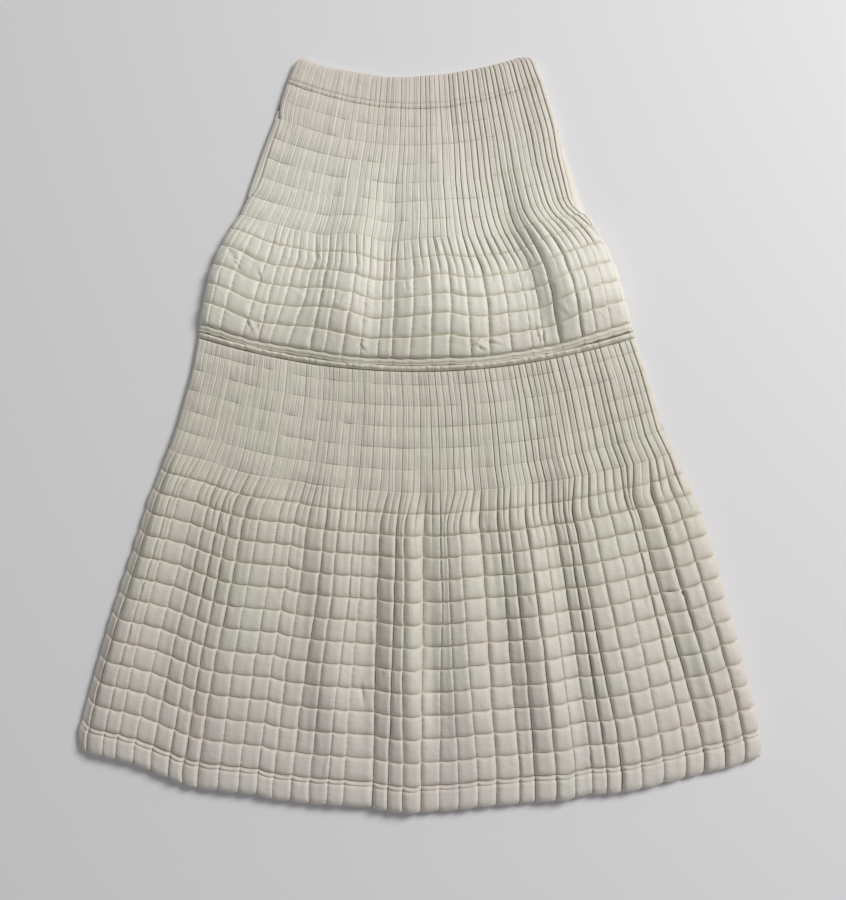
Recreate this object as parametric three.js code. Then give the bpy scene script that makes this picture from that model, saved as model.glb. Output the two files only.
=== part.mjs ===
// A tiered skirt of quilted cloth with heat-set pleats, laid flat on its back.
// Millimetres, +Z up, the waist towards +Y. Every piece is made from the same map of the lying cloth: how far
// down the skirt, and which quilted column.
import * as THREE from "three";

const { lerp, clamp, smoothstep } = THREE.MathUtils;

// Driving sizes.
const FULL_LENGTH = 850; // waist edge to hem along the centre front
const CORNER_RISE = 32; // waist corners beyond the centre of the waist edge
const HEM_DROP = 3.6; // ridges of the folds beyond the rest of the hem
const CASING_DEPTH = 38;
const QUILT_PITCH = 24.5;
const STRIP_DEPTH = 9; // flat, topstitched foot of the upper tier
const WELT_WIDTH = 6.5;
const TIER_SEAM = 359; // down to the top of the welt
const HEM_DEPTH = 22;
const PLEATS_PER_COLUMN = 2;
const UPPER_PLEATED_ROWS = 7;
const UPPER_OPEN_ROWS = 6;
const LOWER_PLEATED_ROWS = 6;
const LOWER_OPEN_ROWS = 13;

// Thicknesses and heights above the surface that the skirt lies on.
const BACK_THICKNESS = 5; // padded cloth, pressed by its own weight
const SEAM_GAP = 0.3;
const WALL = 3; // front cloth at a line of quilting
const PLEAT_DEPTH = 4.5;
const QUILT_LOFT = 6;
const WELT_LOFT = 4;
const EDGE_ROUND = 12; // width over which the cloth turns down at the sides
const EDGE_HEIGHT = 1.2; // front cloth above the side seam, right at the side
const SEAM_HEIGHT = 2; // front cloth where a seam or a turned edge presses it thin
const SLIT_HEIGHT = 0.8; // slits between the pleats above a line of quilting
const FOLD_HOLLOW = 0.6; // share of a fold's lift that the inside of the front follows
const FRONT_FLOOR = BACK_THICKNESS + SEAM_GAP;

// Pockets in the side seams of the upper tier. Between firstRow and lastRow of the pleated rows the front is
// drawn in from the side by the full width, and a row above and below them it is back at the seam.
const LEFT_POCKET = { hand: -1, firstRow: 2, lastRow: 5 };
const RIGHT_POCKET = { hand: 1, firstRow: 3, lastRow: 6 };
const POCKET_WIDTH = 8.5;
const FACING_HEIGHT = 7;

// Cross lines of the lying skirt, from the waist edge to the hem. down: along the centre front.
// left, right: half widths. riseLeft, riseRight: how much higher the line's ends lie than its middle.
const SECTIONS = [
  { down: 0, left: 151, right: 138, riseLeft: 31, riseRight: 32 },
  { down: 38, left: 162, right: 149, riseLeft: 35, riseRight: 38 },
  { down: 88, left: 175, right: 162, riseLeft: 37, riseRight: 40 },
  { down: 136, left: 191, right: 174, riseLeft: 35, riseRight: 37 },
  { down: 185, left: 205, right: 189, riseLeft: 35, riseRight: 32 },
  { down: 209, left: 213, right: 196, riseLeft: 36, riseRight: 36 },
  { down: 232, left: 223, right: 205, riseLeft: 40, riseRight: 44 },
  { down: 262, left: 236, right: 219, riseLeft: 41, riseRight: 44 },
  { down: 291, left: 246, right: 230, riseLeft: 41, riseRight: 43 },
  { down: 350, left: 255, right: 244, riseLeft: 41, riseRight: 42 },
  { down: 366, left: 256, right: 248, riseLeft: 41, riseRight: 41 },
  { down: 407, left: 261, right: 259, riseLeft: 45, riseRight: 44 },
  { down: 481, left: 277, right: 276, riseLeft: 48, riseRight: 46 },
  { down: 505, left: 284, right: 287, riseLeft: 48, riseRight: 44 },
  { down: 563, left: 302, right: 309, riseLeft: 50, riseRight: 45 },
  { down: 628, left: 318, right: 326, riseLeft: 52, riseRight: 47 },
  { down: 702, left: 338, right: 342, riseLeft: 56, riseRight: 50 },
  { down: 777, left: 355, right: 357, riseLeft: 60, riseRight: 53 },
  { down: 828, left: 365, right: 365, riseLeft: 61, riseRight: 51 },
  { down: 850, left: 365, right: 364, riseLeft: 61, riseRight: 50 },
];

// Widths over which the squares of each tier lie, left to right: the soft folds draw some of them together.
const UPPER_SQUARES = [
  10, 15, 25, 19, 13, 21, 26, 16, 20, 21, 21, 15, 21, 25, 21, 25, 22, 25, 23, 15, 19, 25, 15, 18, 17, 7,
];
const LOWER_SQUARES = [
  8, 17, 20, 15, 15, 18, 18, 11, 22, 21, 17, 18, 18, 21, 20, 13, 27, 15, 15,
  18, 21, 13, 24, 22, 24, 15, 21, 21, 18, 14, 15, 22, 20, 24, 18, 25, 21, 13,
];
const EVEN_SQUARES = 0.75; // how far the pleats at a tier's top even the widths out

// Soft folds of each tier, left to right. Places are shares of the width, at the top and the foot of the open
// quilting. The cloth climbs from the valley to the ridge and falls gently to the next valley.
// lift: height of the ridge at the foot. rowRise: how far the ridge pulls the rows up.
const UPPER_FOLDS = [
  { valleyTop: -0.06, ridgeTop: 0.05, valleyFoot: -0.06, ridgeFoot: 0.05, lift: 3, rowRise: 0 },
  { valleyTop: 0.24, ridgeTop: 0.34, valleyFoot: 0.2, ridgeFoot: 0.335, lift: 8, rowRise: 8 },
  { valleyTop: 0.43, ridgeTop: 0.57, valleyFoot: 0.41, ridgeFoot: 0.56, lift: 7, rowRise: 6 },
  { valleyTop: 0.79, ridgeTop: 0.86, valleyFoot: 0.82, ridgeFoot: 0.9, lift: 9, rowRise: 5 },
];
const LOWER_FOLDS = [
  { valleyTop: -0.03, ridgeTop: 0.04, valleyFoot: -0.03, ridgeFoot: 0.04, lift: 5, rowRise: 0 },
  { valleyTop: 0.09, ridgeTop: 0.2, valleyFoot: 0.105, ridgeFoot: 0.18, lift: 9, rowRise: -4 },
  { valleyTop: 0.27, ridgeTop: 0.33, valleyFoot: 0.34, ridgeFoot: 0.37, lift: 5, rowRise: 0 },
  { valleyTop: 0.41, ridgeTop: 0.47, valleyFoot: 0.42, ridgeFoot: 0.485, lift: 9, rowRise: -4 },
  { valleyTop: 0.5, ridgeTop: 0.57, valleyFoot: 0.53, ridgeFoot: 0.575, lift: 6, rowRise: 0 },
  { valleyTop: 0.61, ridgeTop: 0.68, valleyFoot: 0.66, ridgeFoot: 0.71, lift: 10, rowRise: -3 },
  { valleyTop: 0.74, ridgeTop: 0.79, valleyFoot: 0.745, ridgeFoot: 0.8, lift: 10, rowRise: -4 },
  { valleyTop: 0.88, ridgeTop: 0.92, valleyFoot: 0.92, ridgeFoot: 0.955, lift: 9, rowRise: -3 },
];

// Finish of each cloth piece.
const CLOTH_COLOUR = 0xc9c4b7;
const WELT_COLOUR = 0xc2bcae;
const CLOTH_ROUGHNESS = 0.62;

// Tiers: where each starts, where its pleats are released and where its quilting ends, down the centre front.
const UPPER = {
  top: CASING_DEPTH,
  release: CASING_DEPTH + UPPER_PLEATED_ROWS * QUILT_PITCH,
  foot: TIER_SEAM - STRIP_DEPTH,
  end: TIER_SEAM,
  columns: UPPER_SQUARES.length,
  squares: UPPER_SQUARES,
  folds: UPPER_FOLDS,
  footLift: 0.35, // the topstitched strip holds the folds down, and keeps its own line straight
  footRise: 0,
};
const LOWER = {
  top: TIER_SEAM + WELT_WIDTH,
  release: TIER_SEAM + WELT_WIDTH + (LOWER_PLEATED_ROWS - 0.3) * QUILT_PITCH,
  foot: FULL_LENGTH - HEM_DEPTH,
  end: FULL_LENGTH,
  columns: LOWER_SQUARES.length,
  squares: LOWER_SQUARES,
  folds: LOWER_FOLDS,
  footLift: 1,
  footRise: 1,
};

// The section at a place down the skirt, between the two nearest rows of the table.
function sectionAt(down) {
  const last = SECTIONS.length - 1;
  let below = SECTIONS.findIndex((row) => row.down >= down);
  if (below < 1) below = below === 0 ? 1 : last;
  const [a, b] = [SECTIONS[below - 1], SECTIONS[below]];
  const share = clamp((down - a.down) / (b.down - a.down), 0, 1);
  const mix = (key) => lerp(a[key], b[key], share);
  return { left: mix("left"), right: mix("right"), riseLeft: mix("riseLeft"), riseRight: mix("riseRight") };
}

// How much of its rise a cross line has gained at a place across: -1 at the left side, 1 at the right.
function sagAcross(side, down) {
  const arc = side * side;
  const casingEdge = smoothstep(Math.abs(side), 0.15, 0.9);
  return lerp(casingEdge, arc, smoothstep(down, 0, CASING_DEPTH));
}

// A fold's valley and ridge where the cloth is `down`.
function foldAt(fold, tier, down) {
  const share = clamp((down - tier.release) / (tier.foot - tier.release), 0, 1);
  return {
    valley: lerp(fold.valleyTop, fold.valleyFoot, share),
    ridge: lerp(fold.ridgeTop, fold.ridgeFoot, share),
  };
}

// How far the folds have opened: nothing at the tier's top, and all of it two thirds of the way down the open
// quilting. `atFoot` is the share that is left at the foot.
function foldOpening(tier, down, atFoot) {
  const opened = smoothstep(down, tier.top + QUILT_PITCH, lerp(tier.release, tier.foot, 0.65));
  const held = lerp(1, atFoot, smoothstep(down, lerp(tier.release, tier.foot, 0.7), tier.foot));
  return opened * held;
}

// Height of the folds above the flat cloth, and how far they pull the row up. The side seams stay in place.
const PAST_RIGHT_SIDE = 1.12;
function foldShape(tier, across, down) {
  const spans = tier.folds.map((fold) => foldAt(fold, tier, down));
  let [height, rise] = [0, 0];
  tier.folds.forEach((fold, i) => {
    const { valley, ridge } = spans[i];
    const next = i + 1 < spans.length ? spans[i + 1].valley : PAST_RIGHT_SIDE;
    const climb = across < ridge ? smoothstep(across, valley, ridge) : 1 - smoothstep(across, ridge, next);
    height += fold.lift * climb;
    rise += fold.rowRise * climb;
  });
  return {
    height: height * foldOpening(tier, down, tier.footLift),
    rise: rise * foldOpening(tier, down, tier.footRise) * (1 - (2 * across - 1) ** 6),
  };
}

// Share of the width at which each quilting column lies. The pleats at the tier's top lie nearly even.
function columnMap(tier, down) {
  const whole = tier.squares.reduce((sum, width) => sum + width, 0);
  const edges = [0];
  for (const width of tier.squares) edges.push(edges.at(-1) + width / whole);
  const uneven = lerp(1 - EVEN_SQUARES, 1, smoothstep(down, tier.top, tier.release + QUILT_PITCH));
  return (column) => {
    const square = Math.min(Math.floor(column), tier.columns - 1);
    const lying = lerp(edges[square], edges[square + 1], column - square);
    return lerp(column / tier.columns, lying, uneven);
  };
}

// How far the front is drawn in from the side by an open pocket, at one of the tier's rows.
function pocketInset({ firstRow, lastRow }, row) {
  return POCKET_WIDTH * (smoothstep(row, firstRow - 1, firstRow) - smoothstep(row, lastRow, lastRow + 1));
}
function insetsAt(row) {
  return { left: pocketInset(LEFT_POCKET, row), right: pocketInset(RIGHT_POCKET, row) };
}
const NO_INSET = { left: 0, right: 0 };

// The lying cloth's place in plan, centred on the origin from the waist corners to the hem's lowest ridge.
// `across` runs from 0 at the left side to 1 at the right.
const WAIST_EDGE = (FULL_LENGTH + HEM_DROP - CORNER_RISE) / 2;
function planPoint(across, down, inset = NO_INSET) {
  const section = sectionAt(down);
  const side = 2 * across - 1;
  const left = section.left - inset.left;
  const right = section.right - inset.right;
  const x = lerp(-left, right, across);
  const rise = side < 0 ? section.riseLeft : section.riseRight;
  const y = WAIST_EDGE - down + rise * sagAcross(side, down);
  return { x, y, fromSide: Math.min(x + left, right - x) };
}

// 0 right at the side, rising like a quarter circle to 1 where the cloth lies level.
function sideRound(fromSide) {
  const t = clamp(fromSide / EDGE_ROUND, 0, 1);
  return Math.sqrt(t * (2 - t));
}

// Pleats: 0 in the slit between two, 1 on the ridge. They fade out over the row below the release.
function pleatRidge(column) {
  return 0.5 - 0.5 * Math.cos(2 * Math.PI * PLEATS_PER_COLUMN * column);
}

// Quilting: 0 on a stitched line, 1 in the middle of a square.
function quiltPuff(column, row) {
  const swell = (t) => Math.sqrt(Math.abs(Math.sin(Math.PI * t)));
  return swell(row) * lerp(0.15, 1, swell(column));
}

// Height of the front's outer face. `open` is 0 in the pleated rows and 1 in the open quilting.
function frontOuter(tier, column, row, down, across, inset, open) {
  const place = planPoint(across, down, inset);
  const fold = foldShape(tier, across, down);
  const pleats = PLEAT_DEPTH * pleatRidge(column) * (1 - open);
  const puffs = QUILT_LOFT * quiltPuff(column, row) * open;
  const level = WALL + SLIT_HEIGHT * (1 - open) + fold.height + pleats + puffs;
  const height = EDGE_HEIGHT + (level - EDGE_HEIGHT) * sideRound(place.fromSide);
  return new THREE.Vector3(place.x, place.y + fold.rise, FRONT_FLOOR + height);
}

// A plain inner face that follows the folds only loosely, clear of the back.
function frontInner(tier, across, down, inset) {
  const place = planPoint(across, down, inset);
  const fold = foldShape(tier, across, down);
  const follow = FOLD_HOLLOW * fold.height * sideRound(place.fromSide);
  return new THREE.Vector3(place.x, place.y + fold.rise, FRONT_FLOOR + follow);
}

// Collects points and faces of one closed solid.
class Skin {
  points = [];
  faces = [];
  line(vectors) {
    return vectors.map((v) => this.points.push(v) - 1);
  }
  // Fills the strip between two lines of points. Seen from outside, `upper` runs left to right above `lower`.
  strip(upper, lower) {
    if (upper.length === lower.length) this.evenStrip(upper, lower);
    else this.unevenStrip(upper, lower);
  }
  // Lines of one count are joined square by square, across the fuller of the two diagonals.
  evenStrip(upper, lower) {
    const middle = (a, b) => this.points[a].z + this.points[b].z;
    for (let i = 1; i < upper.length; i++) {
      const [a, b, c, d] = [upper[i - 1], lower[i - 1], lower[i], upper[i]];
      if (middle(a, c) > middle(b, d)) this.faces.push(a, b, c, a, c, d);
      else this.faces.push(a, b, d, b, c, d);
    }
  }
  // Lines of different counts are joined point by point, always across the shorter diagonal.
  unevenStrip(upper, lower) {
    const apart = (a, b) => {
      if (a === undefined || b === undefined) return Infinity;
      return this.points[a].distanceTo(this.points[b]);
    };
    let [i, j] = [0, 0];
    while (i < upper.length - 1 || j < lower.length - 1) {
      if (apart(upper[i + 1], lower[j]) <= apart(upper[i], lower[j + 1])) {
        this.faces.push(upper[i], lower[j], upper[++i]);
      } else {
        this.faces.push(upper[i], lower[j], lower[++j]);
      }
    }
  }
  // Closes a panel: outer and inner are lists of lines from the top down, each from left to right.
  panel(outer, inner) {
    for (let i = 1; i < outer.length; i++) this.strip(outer[i - 1], outer[i]);
    for (let i = 1; i < inner.length; i++) this.strip(inner[i], inner[i - 1]);
    this.strip(inner[0], outer[0]);
    this.strip(outer.at(-1), inner.at(-1));
    const ends = (lines, pick) => lines.map((line) => line.at(pick));
    this.strip(ends(outer, 0), ends(inner, 0));
    this.strip(ends(outer, -1).reverse(), ends(inner, -1).reverse());
    return this;
  }
  mesh(name, colour) {
    const geometry = new THREE.BufferGeometry().setFromPoints(this.points);
    geometry.setIndex(this.faces);
    geometry.computeVertexNormals();
    const material = new THREE.MeshStandardMaterial({ color: colour, roughness: CLOTH_ROUGHNESS });
    const made = new THREE.Mesh(geometry, material);
    made.name = name;
    return made;
  }
}

// Equal steps from a to b, both ends included.
function steps(a, b, count) {
  return Array.from({ length: count + 1 }, (_, i) => lerp(a, b, i / count));
}

// Columns at which a line of the front has points: `perColumn` in each, and two more where the side turns
// down.
const SIDE_STEPS = [0.1, 0.25];
function columnStops(tier, perColumn) {
  const stops = steps(0, tier.columns, tier.columns * perColumn);
  if (perColumn > POINTS_PER_OPEN_COLUMN) return stops;
  const mirrored = SIDE_STEPS.map((step) => tier.columns - step).reverse();
  return [0, ...SIDE_STEPS, ...stops.slice(1, -1), ...mirrored, tier.columns];
}

// One outer line of a front panel. `pressed` is 1 where a seam or a turned edge holds the cloth down.
function outerLine(skin, tier, { down, row = 0, open, perColumn, inset = NO_INSET, pressed = 0 }) {
  const across = columnMap(tier, down);
  const points = columnStops(tier, perColumn).map((column) => {
    const point = frontOuter(tier, column, row, down, across(column), inset, open);
    point.z = lerp(point.z, Math.min(point.z, FRONT_FLOOR + SEAM_HEIGHT), pressed);
    return point;
  });
  return skin.line(points);
}

// One plain inner line of a front panel.
function innerLine(skin, tier, down, count, inset = NO_INSET) {
  return skin.line(steps(0, 1, count).map((across) => frontInner(tier, across, down, inset)));
}

// The waist casing: pleated like the tier below it, and turned over at its top edge.
const POINTS_PER_PLEATED_COLUMN = 2 * PLEATS_PER_COLUMN; // a slit and a ridge for each pleat
const POINTS_PER_OPEN_COLUMN = 2; // a stitched line and a crown for each square
const CASING_FOOT = CASING_DEPTH - SEAM_GAP / 2;
function waistbandFront() {
  const skin = new Skin();
  const stops = [
    { down: 0, pressed: 1 },
    { down: 3, pressed: 0.3 },
    { down: 7, pressed: 0 },
    { down: CASING_FOOT - 5, pressed: 0 },
    { down: CASING_FOOT, pressed: 0.55 },
  ];
  const perColumn = POINTS_PER_PLEATED_COLUMN;
  const outer = stops.map((stop) => outerLine(skin, UPPER, { ...stop, open: 0, perColumn }));
  const inner = [0, CASING_FOOT].map((down) => innerLine(skin, UPPER, down, UPPER.columns));
  return skin.panel(outer, inner).mesh("waistband_front", CLOTH_COLOUR);
}

// The upper tier: pleated rows, quilted rows and the flat strip that is stitched down over the welt.
const UPPER_PLEATED_LINES = steps(UPPER.top + SEAM_GAP / 2, UPPER.release, UPPER_PLEATED_ROWS);
function upperTierFront() {
  const skin = new Skin();
  const foot = UPPER.end - SEAM_GAP / 2;
  const outer = UPPER_PLEATED_LINES.map((down, row) =>
    outerLine(skin, UPPER, {
      down,
      row,
      open: row === UPPER_PLEATED_ROWS ? 0.25 : 0,
      perColumn: POINTS_PER_PLEATED_COLUMN,
      inset: insetsAt(row),
      pressed: row === 0 ? 0.45 : 0,
    }),
  );
  const halfRows = steps(UPPER.release, UPPER.foot, UPPER_OPEN_ROWS * 2);
  halfRows.slice(1).forEach((down, i) => {
    const row = (i + 1) / 2;
    outer.push(outerLine(skin, UPPER, { down, row, open: 1, perColumn: POINTS_PER_OPEN_COLUMN }));
  });
  const stripStops = [
    { down: UPPER.foot + 1.5, open: 0.2 },
    { down: UPPER.end - 2, open: 0.3 },
    { down: foot, open: 0 },
  ];
  for (const stop of stripStops) {
    outer.push(outerLine(skin, UPPER, { ...stop, row: 0.5, perColumn: POINTS_PER_OPEN_COLUMN }));
  }
  const openLines = steps(UPPER.release, foot, 6).slice(1);
  const inner = [
    ...UPPER_PLEATED_LINES.map((down, row) => innerLine(skin, UPPER, down, UPPER.columns, insetsAt(row))),
    ...openLines.map((down) => innerLine(skin, UPPER, down, UPPER.columns)),
  ];
  return skin.panel(outer, inner).mesh("upper_tier_front", CLOTH_COLOUR);
}

// The welt: a narrow roll along the tier seam, half round on top.
function tierWeltFront() {
  const skin = new Skin();
  const top = UPPER.end + SEAM_GAP / 2;
  const foot = LOWER.top - SEAM_GAP / 2;
  const count = LOWER.columns * 2;
  const roll = [0, 0.12, 0.35, 0.65, 0.88, 1];
  const rollLine = (share) => {
    const down = lerp(top, foot, share);
    const points = steps(0, 1, count).map((across) => {
      const place = planPoint(across, down);
      const level = WALL + WELT_LOFT * Math.sqrt(1 - (2 * share - 1) ** 2);
      const height = EDGE_HEIGHT + (level - EDGE_HEIGHT) * sideRound(place.fromSide);
      return new THREE.Vector3(place.x, place.y, FRONT_FLOOR + height);
    });
    return skin.line(points);
  };
  const outer = roll.map(rollLine);
  const inner = [top, foot].map((down) => innerLine(skin, LOWER, down, count / 2));
  return skin.panel(outer, inner).mesh("tier_welt_front", WELT_COLOUR);
}

// The lower tier: pleated rows, quilted rows that spread to the hem, and the turned hem with twin stitching.
function lowerTierFront() {
  const skin = new Skin();
  const top = LOWER.top + SEAM_GAP / 2;
  const outer = steps(top, LOWER.release, LOWER_PLEATED_ROWS).map((down, row) =>
    outerLine(skin, LOWER, {
      down,
      row,
      open: row === LOWER_PLEATED_ROWS ? 0.25 : 0,
      perColumn: POINTS_PER_PLEATED_COLUMN,
      pressed: row === 0 ? 0.3 : 0,
    }),
  );
  const halfRows = steps(LOWER.release, LOWER.foot, LOWER_OPEN_ROWS * 2);
  halfRows.slice(1).forEach((down, i) => {
    const row = (i + 1) / 2;
    outer.push(outerLine(skin, LOWER, { down, row, open: 1, perColumn: POINTS_PER_OPEN_COLUMN }));
  });
  const hemSwell = [
    { down: LOWER.foot + 7, row: 0.3, open: 1 },
    { down: LOWER.end - 4, row: 0.5, open: 1 },
    { down: LOWER.end - 0.8, row: 0.1, open: 0.5, pressed: 0.2 },
    { down: LOWER.end, row: 0, open: 1, pressed: 0.8 },
  ];
  for (const stop of hemSwell) {
    outer.push(outerLine(skin, LOWER, { ...stop, perColumn: POINTS_PER_OPEN_COLUMN }));
  }
  const inner = steps(top, LOWER.end, 11).map((down) => innerLine(skin, LOWER, down, LOWER.columns));
  return skin.panel(outer, inner).mesh("lower_tier_front", CLOTH_COLOUR);
}

// A back panel: level underside with its sides turned up a little to the side seam, and a plain upper face.
const BACK_SIDE = [
  { inFrom: 0, height: 2.6 },
  { inFrom: 2.5, height: 0.9 },
  { inFrom: 8, height: 0 },
];
function backPanel(name, from, to, rows, columns, colour = CLOTH_COLOUR) {
  const skin = new Skin();
  const faceLine = (down, height) =>
    skin.line(
      steps(0, 1, columns).map((across) => {
        const place = planPoint(across, down);
        return new THREE.Vector3(place.x, place.y, height);
      }),
    );
  const underLine = (down) => {
    const section = sectionAt(down);
    const width = section.left + section.right;
    const sides = BACK_SIDE.map(({ inFrom, height }) => ({ across: inFrom / width, height }));
    const middle = steps(sides.at(-1).across, 1 - sides.at(-1).across, columns).slice(1, -1);
    const far = sides.map(({ across, height }) => ({ across: 1 - across, height })).reverse();
    const stops = [...sides, ...middle.map((across) => ({ across, height: 0 })), ...far];
    return skin.line(
      stops.map(({ across, height }) => {
        const place = planPoint(across, down);
        return new THREE.Vector3(place.x, place.y, height);
      }),
    );
  };
  const downs = steps(from, to, rows);
  const upper = downs.map((down) => faceLine(down, BACK_THICKNESS));
  const under = downs.map(underLine);
  return skin.panel(upper, under).mesh(name, colour);
}

// A pocket facing: a smooth strip that fills the side of the upper tier where the pocket stands open.
// Its inner edge runs beside the front's, row by row, and its ends taper into the seam.
const FACING_END = 0.3; // share of a row by which it stops short of the closed seam
const FACING_CROWN = [
  { share: 0, height: EDGE_HEIGHT },
  { share: 0.3, height: 0.75 * FACING_HEIGHT },
  { share: 0.7, height: FACING_HEIGHT },
  { share: 1, height: 0.6 * FACING_HEIGHT },
];
function pocketFacing(name, pocket) {
  const skin = new Skin();
  const { hand, firstRow, lastRow } = pocket;
  const side = hand < 0 ? 0 : 1;
  const edgesAt = (row) => {
    const down = UPPER_PLEATED_LINES[row];
    return { seam: planPoint(side, down), front: planPoint(side, down, insetsAt(row)) };
  };
  const between = (a, b, share) => ({ x: lerp(a.x, b.x, share), y: lerp(a.y, b.y, share) });
  const stations = [firstRow - 1 + FACING_END];
  for (let row = firstRow; row <= lastRow; row++) stations.push(row);
  stations.push(lastRow + 1 - FACING_END);
  const face = (station, raised) => {
    const row = Math.floor(station);
    const above = edgesAt(row);
    const below = edgesAt(Math.min(row + 1, UPPER_PLEATED_ROWS));
    const seam = between(above.seam, below.seam, station - row);
    const front = between(above.front, below.front, station - row);
    const crown = FACING_CROWN.map(({ share, height }) => {
      const x = lerp(seam.x, front.x + hand * 2 * SEAM_GAP, share);
      return new THREE.Vector3(x, lerp(seam.y, front.y, share), FRONT_FLOOR + (raised ? height : 0));
    });
    return skin.line(hand < 0 ? crown : crown.reverse());
  };
  const outer = stations.map((station) => face(station, true));
  const under = stations.map((station) => face(station, false));
  return skin.panel(outer, under).mesh(name, CLOTH_COLOUR);
}

const skirt = new THREE.Group();
skirt.add(
  waistbandFront(),
  backPanel("waistband_back", 0, CASING_FOOT, 2, 14),
  upperTierFront(),
  backPanel("upper_tier_back", UPPER.top + SEAM_GAP / 2, UPPER.end - SEAM_GAP / 2, 12, 12),
  pocketFacing("pocket_facing_left", LEFT_POCKET),
  pocketFacing("pocket_facing_right", RIGHT_POCKET),
  tierWeltFront(),
  backPanel("tier_welt_back", UPPER.end + SEAM_GAP / 2, LOWER.top - SEAM_GAP / 2, 1, 12, WELT_COLOUR),
  lowerTierFront(),
  backPanel("lower_tier_back", LOWER.top + SEAM_GAP / 2, LOWER.end, 12, 14),
);

export default skirt;
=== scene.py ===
"""A tiered skirt of quilted, heat-set cloth, laid flat on its back on a pale table. Sizes in millimetres."""

import math

import bpy
import numpy as np
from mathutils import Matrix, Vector


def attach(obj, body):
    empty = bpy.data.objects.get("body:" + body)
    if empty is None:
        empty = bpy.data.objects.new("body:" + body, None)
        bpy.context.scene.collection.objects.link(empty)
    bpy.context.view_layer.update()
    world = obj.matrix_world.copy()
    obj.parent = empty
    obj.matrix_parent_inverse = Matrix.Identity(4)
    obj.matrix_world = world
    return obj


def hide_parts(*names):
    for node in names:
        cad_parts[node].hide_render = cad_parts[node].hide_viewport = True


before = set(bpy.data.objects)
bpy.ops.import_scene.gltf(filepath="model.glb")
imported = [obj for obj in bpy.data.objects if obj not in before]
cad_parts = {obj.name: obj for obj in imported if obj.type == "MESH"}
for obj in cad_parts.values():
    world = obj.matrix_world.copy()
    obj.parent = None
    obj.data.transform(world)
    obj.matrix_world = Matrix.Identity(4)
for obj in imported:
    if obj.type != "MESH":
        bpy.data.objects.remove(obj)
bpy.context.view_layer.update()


# The table, the light and the view, with their sizes in metres. The table is matt and nearly white. One large
# window high up on the right lights it, and the pale room fills the shade. The view is from in front of the
# hem, almost straight down.
TABLE_SIZE = 6.0
TABLE_ROUGHNESS = 0.7
TABLE_COLOUR = (0.85, 0.838, 0.845, 1)
WINDOW_PLACE = Vector((2.75, 1.68, 2.95))
WINDOW_SIZE = 1.6
WINDOW_WATTS = 140.0
ROOM_COLOUR = (0.97, 0.975, 1.0, 1)
ROOM_STRENGTH = 0.26
VIEW_TARGET = Vector((0.0032, -0.0451, 0))
VIEW_DISTANCE = 1.25
VIEW_TILT = math.radians(11.5)
VIEW_LENS = 44  # this and the sensor in millimetres
VIEW_SENSOR = 36


def link(obj):
    bpy.context.scene.collection.objects.link(obj)
    return obj


def aim(obj, place, target):
    obj.location = place
    obj.rotation_euler = (target - place).to_track_quat("-Z", "Y").to_euler()


def paint(name, colour, roughness):
    """A material of one colour."""
    made = bpy.data.materials.new(name)
    made.use_nodes = True
    shader = made.node_tree.nodes["Principled BSDF"]
    shader.inputs["Base Color"].default_value = colour
    shader.inputs["Roughness"].default_value = roughness
    return made


half = TABLE_SIZE / 2
table_mesh = bpy.data.meshes.new("table_top")
table_corners = [(-half, -half, 0), (half, -half, 0), (half, half, 0), (-half, half, 0)]
table_mesh.from_pydata(table_corners, [], [(0, 1, 2, 3)])
table_mesh.materials.append(paint("table_paint", TABLE_COLOUR, TABLE_ROUGHNESS))
table_top = link(bpy.data.objects.new("table_top", table_mesh))

window_light = bpy.data.lights.new("window", "AREA")
window_light.shape = "SQUARE"
window_light.size = WINDOW_SIZE
window_light.energy = WINDOW_WATTS
window = link(bpy.data.objects.new("window", window_light))
aim(window, WINDOW_PLACE, Vector((0, 0, 0)))

room = bpy.data.worlds.new("room")
room.use_nodes = True
room_light = room.node_tree.nodes["Background"]
room_light.inputs["Color"].default_value = ROOM_COLOUR
room_light.inputs["Strength"].default_value = ROOM_STRENGTH
bpy.context.scene.world = room
bpy.context.scene.view_settings.view_transform = "Standard"

camera_data = bpy.data.cameras.new("camera")
camera_data.lens = VIEW_LENS
camera_data.sensor_width = VIEW_SENSOR
camera = link(bpy.data.objects.new("camera", camera_data))
away = Vector((0, -math.sin(VIEW_TILT), math.cos(VIEW_TILT)))
aim(camera, VIEW_TARGET + VIEW_DISTANCE * away, VIEW_TARGET)
bpy.context.scene.camera = camera


# The front of the waist casing: the top of the upper tier turned over an elastic and stitched down twice. It
# is heat-set in the same fine pleats as the rows below it. All the panels lie in one map of the cloth, which
# says where a column of the quilting lies at a distance down the skirt.
FULL_LENGTH = 850
CORNER_RISE = 32  # waist corners beyond the centre of the waist edge
HEM_DROP = 3.6
SEAM = 0.15  # half of the gap between two panels
CASING_DEPTH = 38
TIER_SEAM = 359
STRIP_DEPTH = 9
SQUARE = 24.5  # side of a quilted square
PLEAT_LOFT = 2.6
CLOTH = 2.4  # pressed cloth, at a line of stitching
FLOOR_GAP = 5.3  # inside of the front above the table, on top of the back
SIDE_TURN = 12  # width over which the cloth turns down at the sides
WAIST_EDGE = (FULL_LENGTH + HEM_DROP - CORNER_RISE) / 2
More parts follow.
